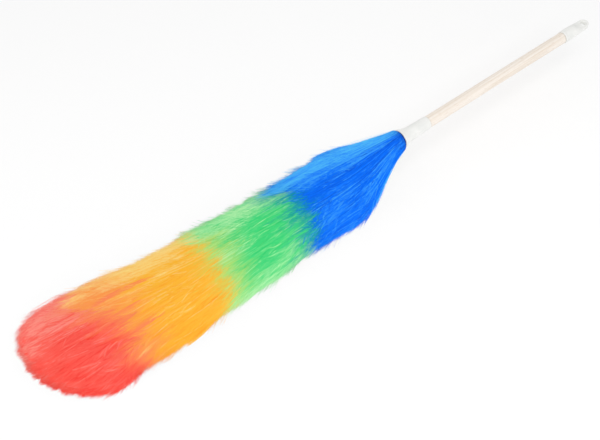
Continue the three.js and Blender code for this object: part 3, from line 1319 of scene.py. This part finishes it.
@dataclass(frozen=True)
class FibreHead:
    """The banded fibre head."""

    form: HeadForm
    bands: tuple[Band, ...]
    locks: tuple[Lock, ...] = ()
    strand: Strand = Strand()
    side: SideScatter = SideScatter()
    end: EndScatter = EndScatter()
    loose: LockScatter = LockScatter()
    fibres_a_coat: int = 4200
    lobe_waves: tuple[int, ...] = (2, 3, 5, 8, 13)
    # The far and near sides are where the bands' painted light and shade is strongest; palest caps it.
    far_side: float = 1.2
    near_side: float = -2.08
    palest: float = 0.84
    end_rings: int = 22
    end_ring_from: float = 0.05
    end_ring_ease: float = 2.5
    sink: float = 0.0045
    shingle: float = 0.0008
    shingle_to: float = 0.5
    start_palest: tuple[float, float] = (0.58, 0.4)
    start_pale_from: tuple[float, float] = (0.05, 0.4)
    collar_depth: tuple[float, float] = (0.3, 0.0004)
    skin_fray: float = 0.007
    fray_beside: float = 0.5
    fan_radius: float = 0.032
    stray_limit: float = 2.2
    flick_length: float = 0.016
    skin_depth: float = 0.0026
    skin_wall: float = 0.005
    skin_taper: float = 0.030
    skin_gap: float = 0.0005
    skin_short: float = 0.016
    skin_swing_short: float = 0.020
    skin_lapped: tuple[float, float] = (0.5, 0.6)
    skin_lap_extra: float = 0.001
    skin_rest: float = 0.002
    # The skin is a little darker than plain, and the end's face darker still: painted shade under the
    # strands.
    skin_shade: float = 0.45
    skin_shade_range: tuple[float, float] = (0.05, 0.95)
    face_shade: float = 0.42
    face_contrast: float = 1.6
    face_from: tuple[float, float] = (0.3, 0.8)
    face_waves: tuple[tuple[float, float], ...] = ((900.0, 310.0), (820.0, 270.0))
    face_waver: float = 3.0
    lap: float = 0.008
    skin_columns: int = 180
    skin_step: float = 0.006
    bundle_radius: float = 0.0101
    bundle_length: float = 0.034
    bundle_edge: tuple[float, float] = (0.0015, 0.0012)
    bundle_blend: float = 0.045
    bundle_gap: float = 0.0008
    bore_radius: float = 0.0043
    groove: tuple[float, float, float] = (0.005, 0.012, 0.0090)
    groove_margin: float = 0.004
    core_short: float = 0.02
    collar: float = 0.0039
    end_share: float = 0.6
    end_depth: float = 0.006
    seed: int = 7

    def lobes(self, band: Band, angle: np.ndarray) -> np.ndarray:
        """How far the end of a band strays from its usual line round the head.

        Args:
            band: The band.
            angle: Directions round the head.

        Returns:
            How much further than usual the band reaches.
        """
        rng = np.random.default_rng([self.seed, *band.name.encode()])
        waves = sum(np.sin(angle * k + rng.uniform(0, FULL_TURN)) / k**0.5 for k in self.lobe_waves)
        amount, narrowness, direction = band.lean
        facing = np.maximum(np.cos(angle - direction), 0.0)
        return band.ragged * waves / 2 + amount * facing**narrowness

    def fray(self, band: Band, angle: np.ndarray) -> np.ndarray:
        """How the end of a band's dense fibre splits into locks.

        Args:
            band: The band.
            angle: Directions round the head, evenly spaced over a full turn.

        Returns:
            How much further than usual each lock reaches.
        """
        rng = np.random.default_rng([self.seed, *band.name.encode(), 11])
        lengths = rng.normal(0, self.skin_fray, len(angle) - 1)
        beside = self.fray_beside * (np.roll(lengths, 1) + np.roll(lengths, -1))
        lengths = (lengths + beside) / (1 + self.fray_beside)
        return np.append(lengths, lengths[0])

    def border(self, band: Band, angle: np.ndarray) -> np.ndarray:
        """Where a band starts to show from under the band before it.

        Args:
            band: The band.
            angle: Directions round the head.

        Returns:
            Distances from the flange.
        """
        place = self.bands.index(band)
        return band.shows + (self.lobes(self.bands[place - 1], angle) if place else 0.0 * angle)

    def place(self, band: Band, along: np.ndarray, angle: np.ndarray) -> np.ndarray:
        """Where in a band something lies.

        Args:
            band: The band.
            along: Distances from the flange.
            angle: Directions round the head.

        Returns:
            0 at the band's start to 1 at its end.
        """
        length = (self.form.length if band.rounds_the_end else band.tips[1]) - band.shows
        return np.clip((along - self.border(band, angle)) / length, 0.0, 1.0)

    def tone(self, band: Band, style: CoatStyle, angle: np.ndarray) -> np.ndarray:
        """How pale a band's strands are painted on each side of the head, as painted light and shade by side
        and coat.

        Args:
            band: The band.
            style: The coat's style.
            angle: Directions round the head.

        Returns:
            The mean shade, where 0.5 is plain.
        """
        far = np.maximum(np.cos(angle - self.far_side), 0.0) ** 2
        near = np.maximum(np.cos(angle - self.near_side), 0.0) ** 3
        plain = PLAIN_SHADE + style.shade
        return np.minimum(plain + band.edges[0] * far + band.edges[1] * near, self.palest)

    def coat_lay(self, band: Band, coat: Coat) -> Lay:
        """Lays out one coat of a band.

        Args:
            band: The band.
            coat: The coat.

        Returns:
            Where its fibres lie.
        """
        rng = np.random.default_rng([self.seed, *band.name.encode(), *coat.value.encode()])
        style = COATS[coat]
        fibres = round(self.fibres_a_coat * style.density)
        ends = round(fibres * self.end_share) if band.rounds_the_end else 0
        lay = self.side_lay(band, style, rng, fibres - ends)
        if ends:
            lay = lay.joined(self.end_lay(band, style, rng, ends))
        for lock in self.locks:
            if coat is Coat.TOP and lock.band == band.name:
                lay = lay.joined(self.lock_lay(band, lock, rng))
        return lay

    def side_lay(self, band: Band, style: CoatStyle, rng: np.random.Generator, wanted: int) -> Lay:
        """Lays fibres along the side of the head, in clumps.

        Args:
            band: The band.
            style: The coat's style.
            rng: The source of chance.
            wanted: About how many fibres to lay.

        Returns:
            Where the fibres lie.
        """
        form, vary = self.form, self.side
        clumps = wanted // style.clump_size
        count = clumps * style.clump_size
        clump = np.repeat(np.arange(clumps), style.clump_size)
        angle = (np.arange(clumps) * GOLDEN_TURN + rng.normal(0, vary.turn, clumps)) % FULL_TURN
        tips = band.tips[0] + (band.tips[1] - band.tips[0]) * rng.random(clumps)
        early = self.border(band, angle) - band.shows
        late = 0.0 if band.rounds_the_end else self.lobes(band, angle)
        ends = tips + early + (late - early) * smoothstep(tips, *band.tips)
        mottle = sum(np.sin(angle * k + tips * f + rng.uniform(0, FULL_TURN)) for k, f in vary.waves)
        fluffy = rng.random(clumps) < style.fluff_share
        varied = rng.normal(0, vary.clump_contrast * band.contrast, clumps)
        varied = varied * np.where(fluffy, vary.fluff_contrast, 1.0)
        clump_tint = rng.normal(0, vary.clump_tint, clumps)
        # Painted light and shade of the head's sides and of the coat's depth, before the random tone.
        side_lit_tone = self.tone(band, style, angle)
        tone = side_lit_tone + vary.mottle * mottle + varied
        sway = rng.normal(0, style.sway, clumps)
        fuzz = rng.normal(style.top, style.fuzz, clumps)
        lift = style.flick * np.minimum(rng.exponential(1.0, clumps), self.stray_limit)
        lift = np.where(fluffy, rng.uniform(*vary.fluff_lift, clumps), lift)

        stray = rng.random(count) < style.stray_share
        spread = rng.normal(0, style.clump_width, count)
        gather = np.where(stray, 0.0, style.gather * rng.uniform(*vary.gather, count))
        sway = sway[clump] + rng.normal(0, style.sway * np.where(stray, vary.stray_sway, vary.sway), count)
        ends = ends[clump] + rng.normal(0, vary.tip, count)
        first = (early[clump] + band.shows) + self.lap * rng.uniform(-1, 1, count)
        roots = np.maximum(ends - rng.uniform(*band.reach, count), np.maximum(first, self.bands[0].shows))
        fluff = fluffy[clump]
        roots = np.where(fluff, np.maximum(roots, ends - rng.uniform(*vary.fluff_length, count)), roots)
        ends = np.maximum(ends, roots + np.where(fluff, vary.least_fluff, vary.least_length))
        top = fuzz[clump] + rng.normal(0, vary.height, count)
        flick = lift[clump] * rng.uniform(*vary.flick, count) * np.where(stray, vary.stray_flick, 1.0)
        sink = self.sink * rng.uniform(*vary.sink, count)
        emerge = np.where(stray, vary.stray_emerge, rng.uniform(*vary.emerge, count))
        top = top - vary.stray_rise * stray
        shades = tone[clump] + rng.normal(0, vary.fibre_contrast * band.contrast, count)
        shades = shades + stray * rng.normal(*vary.stray_shade, count)

        share = np.array(self.strand.stations)[None, :]
        along = roots[:, None] + (ends - roots)[:, None] * share
        across = spread[:, None] * (1 - gather[:, None] * share**1.5) + sway[:, None] * share**2
        theta = angle[clump][:, None] + across / np.maximum(form.radius(along), self.fan_radius)
        places = self.place(band, along, theta)
        depth = sink[:, None] + (top - sink)[:, None] * share ** emerge[:, None]
        risen = np.clip(1 - (ends[:, None] - along) / self.flick_length, 0.0, 1.0)
        depth = depth - flick[:, None] * risen**1.5
        if self.bands.index(band):
            least, more = self.start_palest
            depth = depth + self.shingle * (1 - smoothstep(places, 0.0, self.shingle_to))
            inside = smoothstep(places.mean(axis=1), *self.start_pale_from)
            shades = np.minimum(shades, np.maximum(side_lit_tone[clump], least) + more * inside)
        else:
            slope, least = self.collar_depth
            depth = np.minimum(depth, slope * form.radius(along) * share + least)
        tint = clump_tint[clump] + rng.normal(0, vary.fibre_tint, count)
        past_start = smoothstep(places, 0.0, vary.tint_from)
        places = places + tint[:, None] * (vary.start_tint + (1 - vary.start_tint) * past_start)
        paths = form.points(np.minimum(along, form.end_start), depth, theta)
        paths[..., 0] -= np.maximum(along - form.end_start, 0.0)
        lowest = form.rest_height + rng.uniform(0.0, vary.rest, count)[:, None]
        widths = style.half_width * rng.uniform(*vary.width, count)
        return Lay(form.rested(paths, lowest), form.outward(0 * along, theta), places, widths, shades)

    def end_lay(self, band: Band, style: CoatStyle, rng: np.random.Generator, count: int) -> Lay:
        """Lays fibres that end on the rounded end of the head.

        Args:
            band: The band at the end.
            style: The coat's style.
            rng: The source of chance.
            count: How many fibres to lay.

        Returns:
            Where the fibres lie.
        """
        form, vary = self.form, self.end
        size = style.clump_size // 2
        clumps = count // size
        clump = np.repeat(np.arange(clumps), size)
        count = clumps * size
        middle = rng.uniform(0, FULL_TURN, clumps)
        rim = np.arcsin(rng.random(clumps) ** vary.rim_ease)
        face = np.arccos(rng.random(clumps) ** (0.5 / form.end_blunt))
        bend = np.where(rng.random(clumps) < vary.rim_share, rim, face) * 2 / math.pi
        mottle = np.sin(middle * 3 + bend * 5) + np.sin(middle * 7 - bend * 9)
        # The same painted light and shade by side and coat, with a mottle.
        tone = self.tone(band, style, middle) + vary.mottle * mottle
        tone = tone + rng.normal(0, vary.clump_contrast * band.contrast, clumps)
        lift = style.flick * np.minimum(rng.exponential(1.0, clumps), self.stray_limit)
        fluffy = rng.random(clumps) < vary.fluff * style.fluff_share
        lift = np.where(fluffy, rng.uniform(*vary.fluff_lift, clumps), vary.lift * lift)
        lift = (1 - bend) ** vary.lift_ease * lift
        lean = vary.lean[0] + vary.lean[1] * smoothstep(bend, *vary.lean_from)
        slope = (rng.normal(0, 1.0, (clumps, 3)) * lean[:, None])[clump]
        slope = slope + rng.normal(0, vary.fibre_lean, (count, 3))

        bend = np.clip(bend[clump] + rng.normal(0, vary.bend, count), *vary.bend_range)
        spread = rng.normal(0, style.clump_width, count)
        angle = middle[clump] + spread / (vary.fan + form.full_radius * (1 - bend))
        along = form.end_start + form.end_length * bend
        top = rng.normal(style.top, vary.fuzz * style.fuzz, count)
        top = top - lift[clump] * rng.uniform(*vary.flick, count)
        tips = form.points(along, top, angle)
        outward = form.outward(along, angle)
        facing_out = smoothstep(bend, *vary.face_from)
        reach = rng.uniform(*vary.reach, count) * (1 - facing_out)
        least, more = vary.root_depth
        inside = form.points(along - reach, least + more * bend + more * facing_out, angle)
        way = tips - inside + slope
        way[:, 0] -= rng.uniform(0.0, vary.forward, clumps)[clump]
        share = np.array(self.strand.stations)[None, :, None]
        straight = tips[:, None] - way[:, None] * (1 - share)
        bow = vary.bow * np.linalg.norm(way, axis=1)
        paths = straight + outward[:, None] * bow[:, None, None] * share * (1 - share)
        lowest = form.rest_height + rng.uniform(0.0, vary.rest, count)[:, None]
        shades = tone[clump] + rng.normal(0, vary.fibre_contrast * band.contrast, count)
        places = np.repeat(self.place(band, along, angle)[:, None], len(self.strand.stations), axis=1)
        widths = style.half_width * rng.uniform(*vary.width, count)
        facing = np.repeat(outward[:, None], len(self.strand.stations), axis=1)
        return Lay(form.rested(paths, lowest), facing, places, widths, shades)

    def lock_lay(self, band: Band, lock: Lock, rng: np.random.Generator) -> Lay:
        """Lays the fibres of a loose lock.

        Args:
            band: The band that it belongs to.
            lock: The lock.
            rng: The source of chance.

        Returns:
            Where the fibres lie.
        """
        form, vary, count = self.form, self.loose, lock.fibres
        root, tip = lock.span
        ends = tip - rng.exponential(vary.tip, count) * (tip - root)
        roots = root + rng.uniform(0.0, vary.root, count) * (tip - root)
        share = np.array(self.strand.stations)[None, :]
        along = roots[:, None] + (ends - roots)[:, None] * share
        across = lock.width * rng.uniform(-0.5, 0.5, count)
        across = across[:, None] * (1 - vary.narrowing * share)
        theta = lock.angle + across / np.maximum(form.radius(along), self.fan_radius)
        rise = lock.lift * rng.uniform(*vary.rise, count)
        depth = self.sink * (1 - share) ** 3 - rise[:, None] * share**1.5
        paths = form.rested(form.points(along, depth, theta), form.rest_height + 0 * along)
        places = self.place(band, along, theta)
        shades = rng.normal(lock.shade, vary.shade, count)
        widths = COATS[Coat.TOP].half_width * rng.uniform(*vary.width, count)
        return Lay(paths, form.outward(0 * along, theta), places, widths, shades)

    @property
    def end_bends(self) -> np.ndarray:
        """Shares of the rounded end at which its skin has a ring, closer together on its face."""
        return 1 - (1 - np.linspace(self.end_ring_from, 1.0, self.end_rings)) ** self.end_ring_ease

    def skin_rings(self, band: Band) -> np.ndarray:
        """Shapes the dense fibre that a band's strands grow out of, from its bundle on the core to its end.

        Args:
            band: The band.

        Returns:
            The points of each ring, in order along the closed outline.
        """
        form = self.form
        angle = np.linspace(0, FULL_TURN, self.skin_columns + 1)
        edge_along, edge_out = self.bundle_edge
        groove_start, groove_end, groove_radius = self.groove
        lead = max(self.collar - band.start, 0.0)
        root = [
            (lead, self.bore_radius),
            (lead, self.bundle_radius - edge_out),
            (lead + edge_along, self.bundle_radius),
            (groove_start, self.bundle_radius),
            (groove_start, groove_radius),
            (groove_end, groove_radius),
            (groove_end, self.bundle_radius),
        ]
        rings = [self.round_ring(band.start + place, radius, angle) for place, radius in root]
        first = band.start + groove_end + self.groove_margin
        last = form.end_start if band.rounds_the_end else band.tips[1] - self.skin_short
        stations = np.linspace(first, last, round((last - first) / self.skin_step) + 1)
        border = self.border(band, angle)
        swing = 0 * angle if band.rounds_the_end else self.lobes(band, angle) + self.fray(band, angle)
        swing_to = band.tips[1] - self.skin_swing_short
        lap_from, lap_to = (share * self.skin_taper for share in self.skin_lapped)
        lap_depth = self.skin_wall + self.skin_lap_extra if self.bands.index(band) else 0.0
        for along in stations:
            reached = along + swing * smoothstep(along, band.tips[0], swing_to)
            lapped = 1 - smoothstep(reached, border - lap_from, border + lap_to)
            depth = self.skin_depth + lap_depth * lapped
            blend = smoothstep(along, first, first + self.bundle_blend)
            radius = self.bundle_radius + (form.radius(reached) - depth - self.bundle_radius) * blend
            ring = form.points(reached, form.radius(reached) - np.maximum(radius, self.bundle_radius), angle)
            ring[:, 2] += form.drop(reached) * (1 - blend)
            rings.append(ring)
        if band.rounds_the_end:
            for bend in self.end_bends:
                depth = self.skin_depth + (self.end_depth - self.skin_depth) * bend
                rings.append(form.points(form.end_start + form.end_length * bend + 0 * angle, depth, angle))
            core_end = form.end_start - self.core_short
            inside = [self.round_ring(core_end, radius, angle) for radius in (0.0, self.bore_radius)]
            return form.rested(np.array(inside + rings), form.rest_height + self.skin_rest)
        bundle_end = band.start + self.bundle_length
        for along in stations[stations > bundle_end + self.skin_step][::-1]:
            reached = along + swing * smoothstep(along, band.tips[0], swing_to)
            thick = 1 - smoothstep(along, last - self.skin_taper, last)
            inner = form.radius(reached) - self.skin_depth - self.skin_gap - self.skin_wall * thick
            inner = np.maximum(inner, self.bundle_radius + self.bundle_gap)
            rings.append(form.points(reached, form.radius(reached) - inner, angle))
        rings.append(self.round_ring(bundle_end, self.bore_radius, angle))
        rings.append(rings[0])
        return form.rested(np.array(rings), form.rest_height + self.skin_rest)

    def round_ring(self, along: float, radius: float, angle: np.ndarray) -> np.ndarray:
        """A plain ring round the core.

        Args:
            along: Its distance from the flange.
            radius: Its radius.
            angle: Directions round the core, from straight up.

        Returns:
            Its points.
        """
        place = self.form.flange_x - along + 0 * angle
        return np.stack([place, radius * np.sin(angle), self.form.axis_z + radius * np.cos(angle)], axis=-1)

    def skin_mesh(self, band: Band) -> bpy.types.Mesh:
        """Joins a band's rings into a closed mesh.

        Args:
            band: The band.

        Returns:
            The mesh, with streaks laid out on the fibre map.
        """
        rings = self.skin_rings(band)
        rows, columns = len(rings) - 1, self.skin_columns
        rng = np.random.default_rng([self.seed, *band.name.encode(), 3])
        angle = np.linspace(0, FULL_TURN, columns + 1)
        # Tones below plain: painted shade under the strands.
        tones = rng.normal(self.skin_shade, band.contrast, columns + 1)
        tones = np.repeat(tones[None, :], rows + 1, axis=0)
        if band.rounds_the_end:
            across, upward = rings[-self.end_rings:, :, 1], rings[-self.end_rings:, :, 2]
            (fine_across, bend_up), (fine_up, bend_across) = self.face_waves
            mottle = np.sin(fine_across * across + self.face_waver * np.sin(bend_up * upward))
            mottle = mottle * np.sin(fine_up * upward + self.face_waver * np.sin(bend_across * across))
            share = smoothstep(self.end_bends, *self.face_from)[:, None]
            mottled = self.face_shade + self.face_contrast * band.contrast * mottle
            tones[-self.end_rings:] += share * (mottled - tones[-self.end_rings:])
        tones = np.clip(tones, *self.skin_shade_range)
        places = self.place(band, self.form.flange_x - rings[..., 0], angle[None, :])
        places = np.clip(places, *PLACE_RANGE)
        shape = bmesh.new()
        layer = shape.loops.layers.uv.new(FIBRE_MAP)
        bmesh.ops.create_grid(shape, x_segments=columns, y_segments=rows, size=1.0)
        spots = {}
        for vert in shape.verts:
            spots[vert] = (round((vert.co.y + 1) / 2 * rows), round((vert.co.x + 1) / 2 * columns))
        for face in shape.faces:
            for loop in face.loops:
                loop[layer].uv = (places[spots[loop.vert]], tones[spots[loop.vert]])
        for vert, spot in spots.items():
            vert.co = rings[spot]
        bmesh.ops.remove_doubles(shape, verts=shape.verts[:], dist=SKIN_MERGE_DISTANCE)
        bmesh.ops.recalc_face_normals(shape, faces=shape.faces[:])
        return smooth_mesh(f"{band.name}_skin", shape)

    def build(self) -> None:
        """Makes the dense fibre and every coat of every band."""
        for band in self.bands:
            material = band.finish.material()
            nodes = (f"{band.name}_tuft",)
            skin = Piece(f"{band.name}_skin", band.finish.slot, nodes).place(self.skin_mesh(band), material)
            skin.visible_diffuse = False
            for coat in Coat:
                name = f"{band.name}_{coat.value}"
                mesh = self.strand.mesh(name, self.coat_lay(band, coat))
                made = Piece(name, band.finish.slot, nodes).place(mesh, material)
                made.visible_shadow = False
                made.visible_diffuse = False


@dataclass(frozen=True)
class Studio:
    """The floor, the soft light and the camera."""

    azimuth: float = -37.87
    elevation: float = 55.0
    distance: float = 0.735
    target: tuple[float, float, float] = (-0.0652, -0.0154, 0.046)
    lens: float = 50.0
    floor_size: float = 6.0
    floor_gap: float = 0.0002
    floor_finish: FloorFinish = FloorFinish((0.95, 0.95, 0.95, 1.0), 0.06)
    sky: float = 0.8
    lit: tuple[float, float, float] = (-0.1, 0.0, 0.0)

    def build(self) -> None:
        """Sets up the stage."""
        self.floor()
        self.lamps()
        self.camera()

    def floor(self) -> None:
        """Lays the pale floor."""
        shape = bmesh.new()
        bmesh.ops.create_grid(shape, x_segments=1, y_segments=1, size=self.floor_size)
        mesh = smooth_mesh("floor", shape)
        floor = bpy.data.objects.new("floor", mesh)
        floor.location.z = -self.floor_gap
        bpy.context.scene.collection.objects.link(floor)
        mesh.materials.append(self.floor_finish.material())

    def lamps(self) -> None:
        """Adds the soft light."""
        scene = bpy.context.scene
        scene.view_settings.view_transform = "Standard"
        world = bpy.data.worlds.new("studio")
        scene.world = world
        world.use_nodes = True
        background = world.node_tree.nodes["Background"].inputs
        background["Strength"].default_value = self.sky
        background["Color"].default_value = (1.0, 1.0, 1.0, 1.0)
        for name, place, size, watts in (
            ("overhead", (-0.15, -0.45, 1.0), 1.0, 2.6),
            ("front", (0.0, -1.2, 0.25), 1.0, 2.2),
            ("end", (-1.3, 0.2, 0.35), 0.8, 2.2),
        ):
            lamp = bpy.data.lights.new(name, "AREA")
            lamp.size = size
            lamp.energy = watts
            made = bpy.data.objects.new(name, lamp)
            made.location = place
            way = Vector(self.lit) - made.location
            made.rotation_euler = way.to_track_quat("-Z", "Y").to_euler()
            scene.collection.objects.link(made)

    def camera(self) -> None:
        """Places the camera at the photograph's viewing angle."""
        turn, tilt = math.radians(self.azimuth), math.radians(self.elevation)
        back = Vector((
            math.sin(turn) * math.cos(tilt),
            -math.cos(turn) * math.cos(tilt),
            math.sin(tilt),
        ))
        data = bpy.data.cameras.new("camera")
        data.lens = self.lens
        made = bpy.data.objects.new("camera", data)
        made.location = Vector(self.target) + back * self.distance
        made.rotation_euler = (-back).to_track_quat("-Z", "Y").to_euler()
        bpy.context.scene.collection.objects.link(made)
        bpy.context.scene.camera = made


# The blue's dark start colour over the first 3% next to the flange is a painted shadow where the fibre meets
# the ferrule.
BLUE = FibreFinish(
    "blue_fibre", srgb(0, 76, 214), srgb(0, 114, 255), srgb(84, 196, 255),
    start=srgb(0, 62, 168), end=srgb(0, 116, 206), start_span=0.03, end_span=0.17, sheen=0.02, gloss=0.06,
)
GREEN = FibreFinish(
    "green_fibre", srgb(14, 194, 88), srgb(66, 218, 124), srgb(184, 244, 176),
    start=srgb(0, 142, 166), end=srgb(204, 226, 112), start_span=0.36, end_span=0.38,
)
ORANGE = FibreFinish(
    "orange_fibre", srgb(250, 150, 24), srgb(254, 184, 50), srgb(255, 222, 138),
    start=srgb(222, 208, 86), end=srgb(255, 144, 80), start_span=0.28, end_span=0.38,
)
RED = FibreFinish(
    "red_fibre", srgb(246, 46, 38), srgb(253, 90, 78), srgb(255, 148, 134),
    start=srgb(254, 138, 84), end=srgb(252, 72, 60), start_span=0.40, end_span=0.3,
)

WOOD = WoodFinish("beech_wood", srgb(248, 240, 231), srgb(233, 220, 204), srgb(214, 190, 168))
WHITE_PLASTIC = MouldedFinish("white_plastic", srgb(242, 242, 239), srgb(234, 235, 232))
CORE_PLASTIC = MouldedFinish("core_plastic", srgb(203, 206, 210), srgb(192, 196, 201), (0.42, 0.55))
THREAD = ThreadFinish("binding_thread", srgb(232, 228, 218), srgb(205, 198, 184))

# The bands' edges paint their far sides paler and their near sides paler or darker: painted light and shade.
BANDS = (
    Band(
        "blue", BLUE, start=0.0003, shows=0.0062, tips=(0.066, 0.141), reach=(0.09, 0.26), ragged=0.006,
        lean=(0.014, 8, 0.62), contrast=0.19, edges=(0.8, -0.05),
    ),
    Band(
        "green", GREEN, start=0.044, shows=0.123, tips=(0.132, 0.231), reach=(0.03, 0.08), ragged=0.008,
        lean=(0.007, 14, 0.62), contrast=0.14, edges=(0.8, 0.45),
    ),
    Band(
        "orange", ORANGE, start=0.144, shows=0.213, tips=(0.221, 0.317), reach=(0.03, 0.08), ragged=0.010,
        lean=(0.038, 4, 0.40), contrast=0.14, edges=(0.55, -0.2),
    ),
    Band(
        "red", RED, start=0.248, shows=0.301, tips=(0.312, 0.374), reach=(0.025, 0.06), ragged=0.0,
        lean=(0.0, 1, 0.0), contrast=0.18, edges=(1.9, -0.2), rounds_the_end=True,
    ),
)

# The lock at -1.88 by the collar is a painted highlight strip on the near side; the pale shades of the locks
# at 1.08 and 1.10 on the far side are partly painted highlight.
LOCKS = (
    Lock("blue", 1.08, (0.012, 0.087), 0.0034, 0.012, 220, 0.75),
    Lock("blue", -1.88, (0.006, 0.060), 0.0012, 0.014, 190, 0.88),
    Lock("blue", -2.02, (0.016, 0.062), 0.0040, 0.007, 70, 0.50),
    Lock("blue", -1.98, (0.022, 0.078), 0.0040, 0.008, 70, 0.50),
    Lock("green", 1.10, (0.138, 0.164), 0.0030, 0.014, 110, 0.95),
    Lock("green", -0.38, (0.160, 0.226), 0.0010, 0.018, 50, 0.84),
    Lock("red", 0.09, (0.258, 0.330), 0.0016, 0.004, 60, 0.40),
    Lock("red", -0.31, (0.282, 0.336), 0.0014, 0.004, 50, 0.40),
    Lock("red", -0.71, (0.268, 0.328), 0.0016, 0.005, 70, 0.30),
    Lock("orange", 0.32, (0.268, 0.320), 0.0012, 0.012, 100, 0.86),
    Lock("orange", -1.98, (0.230, 0.277), 0.0036, 0.009, 90, 0.60),
)


def span(node: str) -> tuple[float, float]:
    """Where a solid starts and ends along the handle.

    Args:
        node: The solid's name.

    Returns:
        Its least and its greatest place along X.
    """
    low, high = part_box(node)
    return low.x, high.x


def main() -> None:
    """Builds the duster and its stage."""
    logging.basicConfig(level=logging.INFO, format="%(message)s")
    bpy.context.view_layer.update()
    low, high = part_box("ferrule")
    form = HeadForm(flange_x=low.x, axis_z=(low.z + high.z) / 2)
    FibreHead(form, BANDS, LOCKS).build()
    lathe = Lathe(axis_z=form.axis_z)
    Handle(lathe, span("handle"), WOOD).build()
    Ferrule(lathe, span("ferrule"), WHITE_PLASTIC).build()
    HangingCap(lathe, span("end_cap"), WHITE_PLASTIC).build()
    CoreRod(lathe, span("core_rod"), CORE_PLASTIC).build()
    thread = THREAD.material()
    for band in BANDS:
        node = f"{band.name}_binding"
        Binding(node, form.axis_z, span(node)).build(THREAD, thread)
    Studio().build()
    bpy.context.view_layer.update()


if __name__ == "__main__":
    main()
